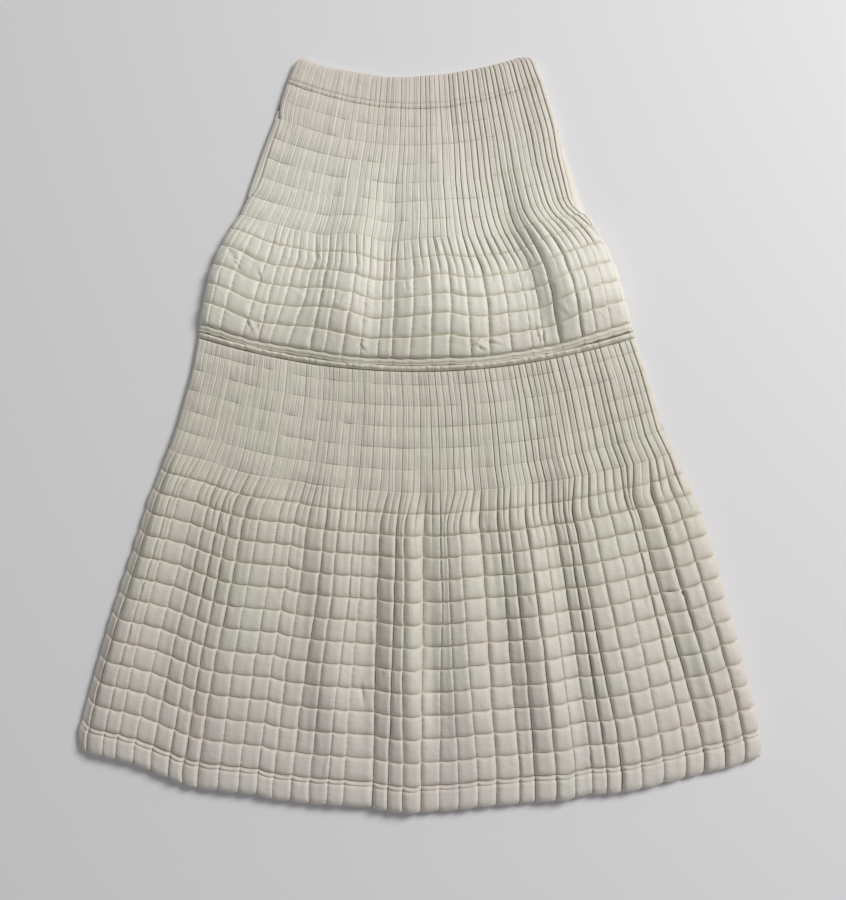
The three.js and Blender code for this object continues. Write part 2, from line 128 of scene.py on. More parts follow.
# The waist edge between its corners: share of the width, height above WAIST_EDGE.
WAIST_LINE = [
    (0, 31), (0.1, 19.5), (0.25, 11), (0.38, 5), (0.46, 4.5),
    (0.64, 9), (0.79, 17.5), (0.87, 23.5), (0.95, 30), (1, 32),
]
INSET_REACH = 32  # how far across the cloth is drawn in beside an inset
CORNER_RADIUS = 9
SECTION_COLUMNS = ("down", "left", "right", "rise_left", "rise_right")
SECTIONS = [
    (0, 151, 138, 31, 32),
    (38, 162, 149, 35, 38),
    (88, 175, 162, 37, 40),
    (136, 191, 174, 35, 37),
    (185, 205, 189, 35, 32),
    (209, 213, 196, 36, 36),
    (232, 223, 205, 40, 44),
    (262, 236, 219, 41, 44),
    (291, 246, 230, 41, 43),
    (350, 255, 244, 41, 42),
    (366, 256, 248, 41, 41),
    (407, 261, 259, 45, 44),
    (481, 277, 276, 48, 46),
    (505, 284, 287, 48, 44),
    (563, 302, 309, 50, 45),
    (628, 318, 326, 52, 47),
    (702, 338, 342, 56, 50),
    (777, 355, 357, 60, 53),
    (828, 365, 365, 61, 51),
    (850, 365, 364, 61, 50),
]
# Soft folds, left to right. Places are shares of the width, at the release of the pleats and at the foot.
FOLD_COLUMNS = ("valley_top", "ridge_top", "valley_foot", "ridge_foot", "lift", "row_rise")
UPPER_FOLDS = [
    (-0.06, 0.05, -0.06, 0.05, 3, 0),
    (0.24, 0.34, 0.20, 0.335, 8, 8),
    (0.43, 0.57, 0.41, 0.56, 7, 6),
    (0.785, 0.86, 0.815, 0.90, 14, 5),
]
# The quilting's columns, left to right: the width over which each square lies, the depth of the crease at its
# left edge from 0, faint, to 4, a sharp fold, how far that edge sways to the right, and how far the rows dip.
SQUARE_COLUMNS = ("width", "crease", "sway", "dip")
UPPER_SQUARES = [
    (10, 0, 0, -3.5),
    (15, 0.4, 3, -3),
    (25, 1, 5, -2.5),
    (19, 1, 9, 2.5),
    (13, 1.5, 6, 3),
    (21, 1, 13, 1),
    (26, 1.5, 15, -1),
    (16, 2, 8, -1),
    (20, 1, 8, 1.5),
    (21, 2, 9, 5),
    (21, 1, 5, 4.5),
    (15, 1, 4, 1.5),
    (21, 2, 4, 1.5),
    (25, 1, 7, 3),
    (21, 2, 5, 2.5),
    (25, 1.5, 7, 1),
    (22, 1.5, 3, 6),
    (25, 2, 4.5, 6.5),
    (23, 1, 2, 3.5),
    (15, 0.4, 2, 3),
    (19, 1, 2, 3),
    (25, 3, 0, 4),
    (15, 3, 0, 1.5),
    (18, 1, 0, 0),
    (17, 0.2, 0, -1.5),
    (7, 0.2, 0, -2.5),
]
# Short creases where the cloth is pinched: the column and the open row at their middle, their length, their
# turn in degrees from straight down the skirt, and their depth.
UPPER_SHORT_CREASES = [
    (1.45, 2.25, 15, 78, 2.2),
    (1.65, 2.45, 18, 74, 2.4),
    (1.85, 2.7, 13, 68, 1.8),
    (2.85, 2.6, 11, 20, 2),
    (3.15, 5.25, 16, 38, 2.6),
    (3.5, 5.5, 14, -42, 2.4),
    (3.8, 5.3, 10, 15, 2),
    (9.95, 5.35, 12, -24, 2.2),
    (10.15, 5.6, 9, 40, 1.8),
    (14.55, 0.5, 20, 3, 2.4),
    (16.2, 5.3, 16, -38, 2.6),
    (16.5, 5.6, 13, 52, 2.2),
    (17.1, 5.35, 15, 60, 2.4),
    (19.6, 5.4, 20, 8, 2.8),
    (19.95, 5.6, 14, -14, 2.2),
    (6.2, 1.3, 13, 30, 1.5),
    (21.3, 4.6, 14, 24, 1.8),
    (8.4, 3.5, 10, -15, 1.3),
    (12.6, 2.4, 12, 12, 1.4),
]
# The upper tier's sides stand a little open at the pockets. These tables give the row and how far in the
# front's edge lies there.
LEFT_POCKET = [(1.3, 0), (2.1, 6), (3, 6.5), (5, 8.5), (5.7, 7), (6.2, 0)]
RIGHT_POCKET = [(2.6, 0), (4, 5), (5.2, 8), (6.3, 11), (6.8, 8), (7.1, 0)]
NO_POCKET = [(0, 0)]
UPPER = {
    "top": CASING_DEPTH,
    "release": CASING_DEPTH + 7 * SQUARE,
    "foot": TIER_SEAM - STRIP_DEPTH,
    "pleated_rows": 7,
    "open_rows": 6,
    "squares": UPPER_SQUARES,
    "folds": UPPER_FOLDS,
    "foot_lift": 0.35,
    "foot_rise": 0.0,
    "slit_depths": (0.55, 4.8),  # between the pleats, at the left and at the right
    "left_slope": 0.0,  # 1 where the cloth slopes plainly down to the left side
    "evenness": 0.85,  # how evenly the pleats lie above the open rows
    "sway_rows": [(0, 0), (1.5, 1), (3.5, 1), (6, 0)],  # open row, share of the sway
    "dip_rows": [(0, 0), (2, 1), (5, 1), (6, 0.3)],
    "short_creases": UPPER_SHORT_CREASES,
    "pockets": (LEFT_POCKET, RIGHT_POCKET),
    "inner_lines": 40,  # lines of points across the inner face
    "sewn_points": (1600, 600),  # to a line of stitching across the cloth and to one down it
    "seed": 11,
}
CASING_END = CASING_DEPTH - SEAM
CASING_LINES = (0, 0.5, 1.4, 3, 6, 12, 20, 28, 31.4, 32, 32.6, 33.2, 34, 35.4, 36.6, 37.3, CASING_END)
CASING_INNER_LINES = (0.0, 0.6, 1.5, 3.0, 5.5, 9.0, 19.0, CASING_END)
CASING_STITCHING = (32.6, 37.3)
CASING_DENT = 1.1  # how far the stitching presses the casing down
CASING_TURN = 3.5  # distance down in which the waist edge turns over
# The points of a panel across each column of the quilting, close together beside the stitched lines.
COLUMN_STOPS = (0, 0.025, 0.06, 0.13, 0.24, 0.37, 0.475, 0.5, 0.525, 0.56, 0.66, 0.78, 0.88, 0.94, 0.975)
WAIST_WARM = (0.76, 0.69, 0.61, 1)
WAIST_COOL = (0.73, 0.69, 0.59, 1)
SQUARES_WARM = (0.845, 0.80, 0.705, 1)
SQUARES_COOL = (0.815, 0.81, 0.69, 1)
SEAM_WARM = (0.705, 0.645, 0.555, 1)
SEAM_COOL = (0.685, 0.66, 0.55, 1)
HEM_WARM = (0.73, 0.66, 0.605, 1)
HEM_COOL = (0.71, 0.675, 0.60, 1)
PLEATS_SPAN = (0.39, 0.24)  # metres from the origin, where each change of colour begins and ends
UPPER_SPAN = (0.14, 0.04)
LOWER_SPAN = (-0.12, -0.42)
CLOTH_ROUGHNESS = 0.55
CLOTH_SHEEN = (0.1, 0.4)  # weight and roughness


def lerp(a, b, share):
    return a + (b - a) * share


def smoothstep(value, low, high):
    t = np.clip((value - low) / (high - low), 0, 1)
    return t * t * (3 - 2 * t)


def chance(seed, i, j=0):
    """A chance value from -1 to 1, the same for the same whole numbers."""
    table = np.random.default_rng(seed).uniform(-1, 1, (97, 89))
    return table[np.asarray(i, int) % 97, np.asarray(j, int) % 89]


def wander(seed, a, b=0.0):
    """A smooth chance value from -1 to 1 that changes with each whole step of `a` and of `b`."""
    i, j = np.floor(a).astype(int), np.floor(b).astype(int)
    s, t = smoothstep(a - i, 0, 1), smoothstep(b - j, 0, 1)
    above = lerp(chance(seed, i, j), chance(seed, i + 1, j), s)
    below = lerp(chance(seed, i, j + 1), chance(seed, i + 1, j + 1), s)
    return lerp(above, below, t)


def near(distance, reach):
    """1 at a line, falling off within `reach` to either side."""
    return np.exp(-((distance / reach) ** 2))


def hump(t, edge):
    """From 0 over 1 back to 0, the steeper at its ends the smaller `edge` is."""
    return np.sin(math.pi * np.clip(t, 0, 1)) ** edge


def section(down, key):
    rows = np.array(SECTIONS, float)
    return np.interp(down, rows[:, 0], rows[:, SECTION_COLUMNS.index(key)])


def row_at(tier, down):
    """Rows of the quilting above a place: whole numbers are lines of stitching."""
    open_pitch = (tier["foot"] - tier["release"]) / tier["open_rows"]
    past = down - tier["release"]
    return tier["pleated_rows"] + past / np.where(past < 0, SQUARE, open_pitch)


def squares_of(tier, key):
    return np.array([square[SQUARE_COLUMNS.index(key)] for square in tier["squares"]], float)


def edges_of(tier):
    """Shares of the width at which the quilting's columns begin and end, where the cloth is open."""
    widths = squares_of(tier, "width")
    return np.concatenate([[0], np.cumsum(widths)]) / widths.sum()


def across_at(tier, column, down):
    """Share of the width at which a column of the quilting lies: nearly even for pleats, not for squares."""
    count = len(tier["squares"])
    lines = np.arange(count + 1)
    uneven = smoothstep(down, tier["release"] - 1.5 * SQUARE, tier["release"] + 2.2 * SQUARE)
    placed = np.interp(column, lines, edges_of(tier))
    share = lerp(column / count, placed, lerp(1 - tier["evenness"], 1, uneven))
    row = row_at(tier, down)
    slit = np.floor(2 * column)

    def shift(slit):
        return 0.22 * chance(tier["seed"] + 2, slit) + 0.1 * wander(tier["seed"] + 3, slit * 1.7, row / 2.5)

    unset = (1 - uneven) / (2 * count) * hump(share, 0.3)
    share = share + unset * lerp(shift(slit), shift(slit + 1), 2 * column - slit)
    swaying = np.interp(row - tier["pleated_rows"], *np.array(tier["sway_rows"], float).T)
    sway = np.interp(column, lines, np.append(squares_of(tier, "sway"), 0))
    share = share + swaying * sway / (section(down, "left") + section(down, "right"))
    return share + 0.0012 * wander(tier["seed"] + 1, column * 0.9, down / 90) * hump(share, 1)


def plan(across, down, inset_left=0.0, inset_right=0.0):
    """Where the cloth lies in plan, and how far in from the nearer side. Insets draw in the sides alone."""
    side = 2 * across - 1
    left, right = section(down, "left"), section(down, "right")
    x = lerp(-left, right, across)
    x = x + inset_left * np.exp(-(x + left) / INSET_REACH) - inset_right * np.exp(-(right - x) / INSET_REACH)
    rise = np.where(side < 0, section(down, "rise_left"), section(down, "rise_right"))
    at_edge = 1 - smoothstep(down, 0, CASING_DEPTH)
    waist_line = np.interp(across, *np.array(WAIST_LINE, float).T)
    y = WAIST_EDGE - down + lerp(rise * side * side, waist_line, at_edge)
    return x, y, np.minimum(x + left - inset_left, right - inset_right - x)


def fold_shape(tier, across, down):
    """Height of the soft folds, and how far they pull the rows up."""
    share = np.clip((down - tier["release"]) / (tier["foot"] - tier["release"]), 0, 1)
    rows = [dict(zip(FOLD_COLUMNS, row)) for row in tier["folds"]]
    valleys = [lerp(row["valley_top"], row["valley_foot"], share) for row in rows] + [1.12]
    ridges = [lerp(row["ridge_top"], row["ridge_foot"], share) for row in rows]
    height, rise = np.zeros_like(across), np.zeros_like(across)
    for i, row in enumerate(rows):
        t = np.clip((across - valleys[i]) / (ridges[i] - valleys[i]), 0, 1)
        steep = lerp(t * t * (3 - 2 * t), 1 - (1 - t) ** 2, 0.6)
        climb = np.where(across < ridges[i], steep, 1 - smoothstep(across, ridges[i], valleys[i + 1]))
        height += row["lift"] * climb
        rise += row["row_rise"] * climb
    opened = smoothstep(down, tier["top"] + SQUARE, lerp(tier["release"], tier["foot"], 0.65))
    near_foot = smoothstep(down, lerp(tier["release"], tier["foot"], 0.7), tier["foot"])
    height *= opened * lerp(1, tier["foot_lift"], near_foot)
    rise *= opened * lerp(1, tier["foot_rise"], near_foot) * (1 - (2 * across - 1) ** 6)
    dipping = np.interp(row_at(tier, down) - tier["pleated_rows"], *np.array(tier["dip_rows"], float).T)
    dips = squares_of(tier, "dip")
    dip = np.interp(across, edges_of(tier), np.append(dips, dips[-1]))
    return height, rise - dip * dipping * (down > tier["release"] - SQUARE)


def pleat_relief(tier, column, row, across):
    """Relief of the heat-set pleats, two flat ones to a column, turned down into the slits beside them."""
    seed = tier["seed"]
    pleat = np.clip(np.floor(2 * column), 0, 2 * len(tier["squares"]) - 1)
    t = 2 * column - pleat
    slit_depth = lerp(*tier["slit_depths"], smoothstep(across, 0.0, 0.95) ** 1.3)

    def depth(slit):
        faint = np.where(chance(seed + 6, slit) > 0.55, 0.35, 1)
        changing = 1 + 0.3 * chance(seed + 4, slit) + 0.4 * wander(seed + 5, slit * 1.3, row / 1.4)
        return slit_depth * faint * np.clip(changing, 0.2, 1.6)

    leaning = smoothstep(across, 0.55, 0.95)
    climb = np.clip(1 - t / lerp(0.12, 0.06, leaning), 0, 1)
    drop = np.clip(1 - (1 - t) / lerp(0.05, 0.17, leaning), 0, 1)
    tilt = (0.1 + 0.45 * chance(seed + 9, pleat)) * (t - 0.5) - 0.5 * (t - 0.5) ** 2
    return tilt - depth(pleat) * climb - depth(pleat + 1) * drop


def pleated_height(tier, column, row, across):
    """Height of the pleated rows, which lie nearly flat, drawn in here and there at the stitched lines."""
    seed = tier["seed"]
    from_line = (row - np.round(row)) * SQUARE
    drawn_in = np.clip(0.65 + 0.9 * wander(seed + 11, column * 1.3, np.round(row) * 1.7), 0.1, 1.5)
    height = PLEAT_LOFT + pleat_relief(tier, column, row, across) - drawn_in * near(from_line, 0.5)
    ripples = 0.8 * wander(seed + 12, column * 0.62, row / 3.1) + 0.25 * wander(seed + 13, column * 1.3, row)
    return height + ripples


def side_turn(from_side, width=SIDE_TURN, sloping=0.0):
    """Share of the height that the cloth has where it turns down at a side, from round to a plain slope."""
    t = np.clip(from_side / width, 0, 1)
    return lerp(np.sqrt(t * (2 - t)), 0.04 + 0.96 * t, sloping)


def shell(name, upper, upper_at, lower, lower_at, material, release=0.0, creases=None):
    """A closed sheet between two grids of points, each from the top down and from left to right.
    upper_at and lower_at are the (columns, distances down) at which each grid has its points. `release` is
    the distance down at which the pleats end. `creases` marks the upper points that lie on creases down the
    cloth and those on creases across it."""

    def seam(first, second, first_at, second_at):
        faces, i, j = [], 0, 0
        while i < len(first) - 1 or j < len(second) - 1:
            if j == len(second) - 1 or (i < len(first) - 1 and first_at[i + 1] <= second_at[j + 1] + 1e-9):
                faces.append((first[i], second[j], first[i + 1]))
                i += 1
            else:
                faces.append((first[i], second[j], second[j + 1]))
                j += 1
        return faces

    top = np.arange(upper.shape[0] * upper.shape[1]).reshape(upper.shape[:2])
    under = np.arange(lower.shape[0] * lower.shape[1]).reshape(lower.shape[:2]) + top.size
    up = np.stack((top[:-1, :-1], top[1:, :-1], top[1:, 1:], top[:-1, 1:]), -1).reshape(-1, 4)
    down = np.stack((under[:-1, :-1], under[:-1, 1:], under[1:, 1:], under[1:, :-1]), -1).reshape(-1, 4)
    edges = seam(under[0], top[0], lower_at[0], upper_at[0])
    edges += seam(top[-1], under[-1], upper_at[0], lower_at[0])
    edges += seam(top[:, 0], under[:, 0], upper_at[1], lower_at[1])
    edges += [face[::-1] for face in seam(top[:, -1], under[:, -1], upper_at[1], lower_at[1])]
    faces = up.tolist() + down.tolist() + [[int(v) for v in face] for face in edges]
    points = np.concatenate([upper.reshape(-1, 3), lower.reshape(-1, 3)]) * 0.001
    mesh = bpy.data.meshes.new(name)
    mesh.from_pydata(points.tolist(), [], faces)
    mesh.polygons.foreach_set("use_smooth", np.ones(len(faces), bool))
    grids = [np.meshgrid(at[0], (at[1] - release) / SQUARE) for at in (upper_at, lower_at)]
    places = [np.stack(grid, -1).reshape(-1, 2) for grid in grids]
    corners = np.zeros(len(mesh.loops), int)
    mesh.loops.foreach_get("vertex_index", corners)
    weave = mesh.uv_layers.new(name="weave")
    weave.data.foreach_set("uv", np.concatenate(places)[corners].astype(np.float32).ravel())
    mesh.materials.append(material)
    if creases:
        ends = np.zeros(2 * len(mesh.edges), int)
        mesh.edges.foreach_get("vertices", ends)
        ends = ends.reshape(-1, 2)
        line, place = np.divmod(np.minimum(ends, top.size - 1), top.shape[1])
        down_edge = (place[:, 0] == place[:, 1]) & creases[0][line, place].all(1)
        across_edge = (line[:, 0] == line[:, 1]) & creases[1][line, place].all(1)
        sharp = mesh.attributes.new("sharp_edge", "BOOLEAN", "EDGE")
        sharp.data.foreach_set("value", (down_edge | across_edge) & (ends < top.size).all(1))
    return link(bpy.data.objects.new(name, mesh))


def creases_of(tier, columns, downs):
    """The points on creases down the cloth, at columns and slits, and across it, at the stitched lines."""
    half_column, row = (2 * columns) % 1, row_at(tier, downs)
    on_line = np.isclose(half_column, 0) | np.isclose(half_column, 1)
    on_ledge = np.isclose(half_column, 2 * COLUMN_STOPS[2])
    pleated = (row < tier["pleated_rows"] + 0.01)[:, None]
    down_creases = on_line[None, :] | (on_ledge[None, :] & pleated)
    across_creases = np.isclose(row, np.round(row))[:, None] & np.ones(len(columns), bool)[None, :]
    return down_creases, across_creases


def feed(node, given):
    """Sets a node's inputs to values or to other nodes' outputs, and returns its own outputs."""
    for key, value in given.items():
        if isinstance(value, bpy.types.NodeSocket):
            node.id_data.links.new(value, node.inputs[key])
        else:
            node.inputs[key].default_value = value
    return node.outputs


def woven_cloth(name):
    """Smooth woven cloth with a satin sheen, warmer in some places than in others, and darker to the hem."""
    material = bpy.data.materials.new(name)
    material.use_nodes = True
    nodes, links = material.node_tree.nodes, material.node_tree.links
    shader = nodes["Principled BSDF"]
    shader.inputs["Roughness"].default_value = CLOTH_ROUGHNESS
    shader.inputs["Sheen Weight"].default_value = CLOTH_SHEEN[0]
    shader.inputs["Sheen Roughness"].default_value = CLOTH_SHEEN[1]
    place = nodes.new("ShaderNodeTexCoord")

    def noise(vector, scale, detail):
        given = {"Vector": vector, "Scale": scale, "Detail": detail}
        return feed(nodes.new("ShaderNodeTexNoise"), given)["Fac"]

    def ramp(value, low, high, to_low, to_high):
        ends = {"From Min": low, "From Max": high, "To Min": to_low, "To Max": to_high}
        return feed(nodes.new("ShaderNodeMapRange"), {"Value": value, **ends})["Result"]

    def blend(first, second, share):
        made = nodes.new("ShaderNodeMix")
        made.data_type = "RGBA"
        return feed(made, {0: share, 6: first, 7: second})[2]

    def bump(height, distance, strength, over=None):
        given = {"Height": height, "Distance": distance, "Strength": strength}
        if over:
            given["Normal"] = over
        return feed(nodes.new("ShaderNodeBump"), given)["Normal"]

    def split(vector):
        made = feed(nodes.new("ShaderNodeSeparateXYZ"), {"Vector": vector})
        return made["X"], made["Y"]

    def reckon(operation, first, second=0.5):
        made = nodes.new("ShaderNodeMath")
        made.operation = operation
        return feed(made, {0: first, 1: second})["Value"]

    def stretched(across, along):
        given = {"Vector": place.outputs["UV"], "Scale": (across, along, 1)}
        return feed(nodes.new("ShaderNodeMapping"), given)["Vector"]

    warmth = ramp(noise(place.outputs["Object"], 13, 2), 0.32, 0.68, 0, 1)
    down_skirt = split(place.outputs["Object"])[1]
    colour = blend(WAIST_WARM, WAIST_COOL, warmth)
    for warm, cool, span in (
        (SQUARES_WARM, SQUARES_COOL, PLEATS_SPAN),
        (SEAM_WARM, SEAM_COOL, UPPER_SPAN),
        (HEM_WARM, HEM_COOL, LOWER_SPAN),
    ):
        colour = blend(colour, blend(warm, cool, warmth), ramp(down_skirt, *span, 0, 1))
    links.new(colour, shader.inputs["Base Color"])
    # The pleats have fine creases along them. In the open rows the stitching puckers the cloth beside the
    # lines down the skirt, and the wadding crumples it softly all over.
    column, row = split(place.outputs["UV"])
    creased = reckon("MULTIPLY", noise(stretched(9, 0.5), 1, 3), ramp(row, 0, 1.5, 1, 0))
    from_middle = reckon("ABSOLUTE", reckon("SUBTRACT", reckon("FRACT", column)))
    beside_line = reckon("MULTIPLY", ramp(from_middle, 0.1, 0.5, 0, 1), ramp(row, 0.5, 2.5, 0, 1))
    puckered = reckon("MULTIPLY", noise(stretched(2.3, 6), 1, 2), beside_line)
    relief = bump(creased, 0.002, 0.55)
    relief = bump(puckered, 0.003, 0.35, relief)
    links.new(bump(noise(place.outputs["Object"], 90, 5), 0.002, 0.45, relief), shader.inputs["Normal"])
    return material


def inner_face(tier, column, down, insets):
    """The plain inside of a front panel, under its folds."""
    across = across_at(tier, column, down)
    x, y, from_side = plan(across, down, *insets)
    height, rise = fold_shape(tier, across, down)
    return np.stack([x, y + rise, FLOOR_GAP + 0.92 * height * side_turn(from_side)], -1)


def column_places(tier):
    """Places across the cloth at which a panel has its points."""
    count = len(tier["squares"])
    return np.array([i + stop for i in range(count) for stop in COLUMN_STOPS] + [count])


def dress(obj, slot, node, flat, area=None):
    """Sets the piece under the root body in place of this node's part, which it hides. `flat` is not used."""
    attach(obj, "root")
    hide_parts(node)


def corner_inset(down):
    """How far the casing's rounded corners are in from its sides."""
    t = np.clip(1 - down / CORNER_RADIUS, 0, 1)
    return CORNER_RADIUS * (1 - np.sqrt(1 - t * t))


def casing_points(column, down):
    """The outer face of the casing. Its pleats hardly change on the way down, and notch the waist edge."""
    across = across_at(UPPER, column, down)
    row = 0.25 + down / 200
    inset = corner_inset(down)
    x, y, from_side = plan(across, down, inset, inset)
    height = CLOTH + pleated_height(UPPER, column, row, across)
    for line in CASING_STITCHING:
        height = height - CASING_DENT * near(down - line, 0.6)
    turned = np.sqrt(np.clip(down / CASING_TURN, 0, 1))
    height = height * lerp(0.25, 1, turned)
    y = y + 0.5 * pleat_relief(UPPER, column, row, across) * (1 - smoothstep(down, 0, 6))
    return np.stack([x, y, FLOOR_GAP + height * side_turn(from_side)], -1)


quilted_cloth = woven_cloth("quilted_cloth")
casing_columns, casing_downs = column_places(UPPER), np.array(CASING_LINES)
casing_inner = (np.arange(len(UPPER_SQUARES) + 1.0), np.array(CASING_INNER_LINES))
casing_inner_grid = np.meshgrid(*casing_inner)
casing_front = shell(
    "waistband_front",
    casing_points(*np.meshgrid(casing_columns, casing_downs)),
    (casing_columns, casing_downs),
    inner_face(UPPER, *casing_inner_grid, [corner_inset(casing_inner_grid[1])] * 2),
    casing_inner,
    quilted_cloth,
    UPPER["release"],
    creases_of(UPPER, casing_columns, casing_downs),
)
dress(casing_front, "quilted_cloth", "waistband_front", (0.42, 0.038))


# The front of the upper tier: quilted cloth, heat-set in fine pleats over seven rows and open over six. Its
# foot is a flat strip, topstitched over the welt.
POCKET_EDGE = 4  # width over which the front turns in at a pocket
QUILT_LOFT = 2.8
QUILT_BASE = 3.6
CREASE_DEPTH = 0.65
PLEAT_TRACE = 2.0  # depth that the middle of a column keeps from its pleats, just below them
WRINKLE = 1.5
ROW_PUCKER = 0.35  # beside the stitched lines across the cloth
COLUMN_PUCKER = 0.8  # beside those down it
SOFT_WAVES = 1.1
ROW_SAG = 1.1
LINE_WOBBLE = 0.8
SIDE_SWELL = 1.2
SEAM_DENT = 1.5  # under the casing's foot
STRIP_DENT = 2.4  # where the strip is topstitched
STRIP_HEIGHT = 3.8
# The points of a front panel down each row of the quilting, as shares of the row.
FINE_OPEN_STOPS = (
    0, 0.02, 0.05, 0.09, 0.15, 0.22, 0.3, 0.38, 0.46, 0.54, 0.62, 0.7, 0.78, 0.86, 0.92, 0.96, 0.98,
)
PLEATED_ROW_STOPS = (0, 0.02, 0.05, 0.5, 0.95, 0.98)
STRIP_LINES = (0.4, 0.9, 1.6, 3, 5, 5.9, 6.3, 6.7, 7.3, 7.8, 8.3, 8.6, 8.8)
STRIP_STITCHING = (TIER_SEAM - STRIP_DEPTH + 0.4, TIER_SEAM - 2.7)


def quilted_height(tier, column, row):
    """Height of the open quilting: puffed squares, with creases down the cloth, puckers and wrinkles."""
    seed = tier["seed"]
    creases = np.append(squares_of(tier, "crease"), 0)
    i = np.clip(np.floor(column), 0, len(creases) - 2)
    j = np.floor(row)
    u, v = column - i, row - j
    v = np.where(row > tier["pleated_rows"] + tier["open_rows"], 0.8 * v, v)

    def crease(line):
        return creases[line.astype(int)] * (1 + 0.35 * wander(seed + 20, line * 1.7, row / 1.9))

    puffed = (1 - np.exp(-v / 0.03)) * (1 - np.exp(-(1 - v) / 0.035)) * (1 - 0.45 * v**4)
    # At the left of the skirt the cloth climbs softly from the crease at the left of a square and drops
    # sharply into the one at its right. At the right of the skirt it is the other way round.
    at_left, at_right = crease(i), crease(i + 1)
    leaning = smoothstep(column / (len(creases) - 1), 0.45, 0.75)
    pinch = np.clip(0.22 + 0.3 * np.where(u < 0.5, at_left, at_right), 0, 1)
    loft = QUILT_LOFT * (1 + 0.25 * chance(seed + 24, i, j))
    height = QUILT_BASE * lerp(0.3, 1, puffed) + loft * puffed * (1 - pinch * np.abs(2 * u - 1) ** 6)
    left_reach = lerp(0.06 + 0.05 * at_left, 0.04, leaning)
    right_reach = lerp(0.04, 0.05 + 0.03 * at_right, leaning)
    valley = CREASE_DEPTH * (0.1 + at_left + 0.4 * at_left**2) * np.exp(-u / left_reach)
    drop = CREASE_DEPTH * (0.1 + at_right + 0.4 * at_right**2) * np.exp((u - 1) / right_reach)
    height -= (valley + drop) * lerp(0.55, 1, puffed) * lerp(1, 0.62, leaning)
    # The two pleats of each column stay for a few rows, fainter from row to row.
    age = np.clip(row - tier["pleated_rows"], 0, None)
    fading = 0.03 + 1.3 * np.exp(-age / 1.5)
    kept = np.clip(0.5 + 0.8 * chance(seed + 26, i, np.floor(j / 2)), 0, 1) * fading
    middle = np.exp(-np.clip(u - 0.5, 0, None) / 0.08) * np.exp(-np.clip(0.5 - u, 0, None) / 0.03)
    height -= PLEAT_TRACE * kept * middle * puffed
    # Short wrinkles cross some of the squares.
    turn = 1.6 * chance(seed + 27, i, j)
    along = (u - 0.5 + 0.3 * chance(seed + 28, i, j)) * np.cos(turn)
    along += (v - 0.5 + 0.3 * chance(seed + 29, i, j)) * np.sin(turn)
    wrinkled = np.clip(chance(seed + 30, i, j) - 0.5, 0, None) * WRINKLE
    height += wrinkled * near(along, 0.07) * hump(u, 1) * hump(v, 1)
    # The stitching puckers the cloth beside it.
    beside_row = np.exp(-np.minimum(v, 1 - v) / 0.16) * puffed
    side_of_line = np.where(v < 0.5, 2 * j, 2 * j - 1)
    height += ROW_PUCKER * beside_row * wander(seed + 31, column * 4.2, side_of_line * 1.7)
    beside_column = np.exp(-np.minimum(u, 1 - u) / 0.12) * puffed
    height += COLUMN_PUCKER * beside_column * wander(seed + 32, np.round(column) * 1.7, row * 6.5)
    return np.maximum(height, 0.3 - CLOTH)


def short_creases(tier, column, row):
    """Depth of the listed short creases, each with a soft ridge beside it."""
    depth = np.zeros(np.shape(column))
    for place, line, length, turn, fold in tier["short_creases"]:
        to_right = (column - place) * 0.85 * SQUARE
        below = (row - tier["pleated_rows"] - line) * SQUARE
        turn = math.radians(turn)
        along = to_right * math.sin(turn) + below * math.cos(turn)
        beside = to_right * math.cos(turn) - below * math.sin(turn)
        depth += fold * near(along, length / 2) * (near(beside, 1.1) - 0.6 * near(beside - 2.6, 2.0))
    return depth


def opened_rows(tier, row):
    return smoothstep(row, tier["pleated_rows"], tier["pleated_rows"] + 1.5)


def pocket_insets(tier, down):
    """How far a tier's front is drawn in from each side by the open pockets."""
    row = row_at(tier, down)
    return [np.interp(row, *np.array(pocket, float).T) for pocket in tier["pockets"]]


def front_points(tier, column, down, shape):
    """The outer face of a tier's front. `shape` changes its height where a seam or a hem presses it."""
    row = row_at(tier, down)
    insets = pocket_insets(tier, down)
    across = across_at(tier, column, down)
    sloping = tier["left_slope"] * (across < 0.5) * opened_rows(tier, row)
    x, y, from_side = plan(across, down, *insets)
    lift, rise = fold_shape(tier, across, down)
    late = 0.25 * chance(tier["seed"] + 34, np.floor(column))
    opened = smoothstep(row - late, tier["pleated_rows"] - 0.3, tier["pleated_rows"] + 1.9)
    quilted = quilted_height(tier, column, row)
    running_on = 1 - smoothstep(row - late, tier["pleated_rows"] + 0.4, tier["pleated_rows"] + 2.4)
    pleated = pleated_height(tier, column, row, across)
    height = CLOTH + lerp(pleated, quilted, opened)
    height = height + opened * running_on * pleat_relief(tier, column, row, across)
    height += SOFT_WAVES * wander(tier["seed"] + 33, across * 7, down / 110)
    height = np.maximum(shape(height, down) - short_creases(tier, column, row), 0.3) + lift
    # The lines of stitching sag a little between one column and the next.
    sagging = ROW_SAG * (1 + 0.4 * wander(tier["seed"] + 35, np.floor(column) * 1.7, row))
    y = y + rise - opened * sagging * (hump(column - np.floor(column), 0.7) - 0.5)
    line = np.round(column)
    wobble = LINE_WOBBLE * chance(tier["seed"] + 36, line, np.floor(row)) * hump(row - np.floor(row), 0.8)
    x = x + opened * wobble * np.exp(-np.abs(column - line) / 0.2)
    swell = SIDE_SWELL * (1 - np.clip(from_side / SIDE_TURN, 0, 1)) * hump(row - np.floor(row), 0.5)
    x = x + swell * np.where(across < 0.5, -1, 1) * (row > tier["pleated_rows"])
    inset = np.where(across < 0.5, *insets)
    turned = side_turn(from_side, lerp(SIDE_TURN, POCKET_EDGE, smoothstep(inset, 0, 5)), sloping)
    return np.stack([x, y, FLOOR_GAP + height * turned], -1)


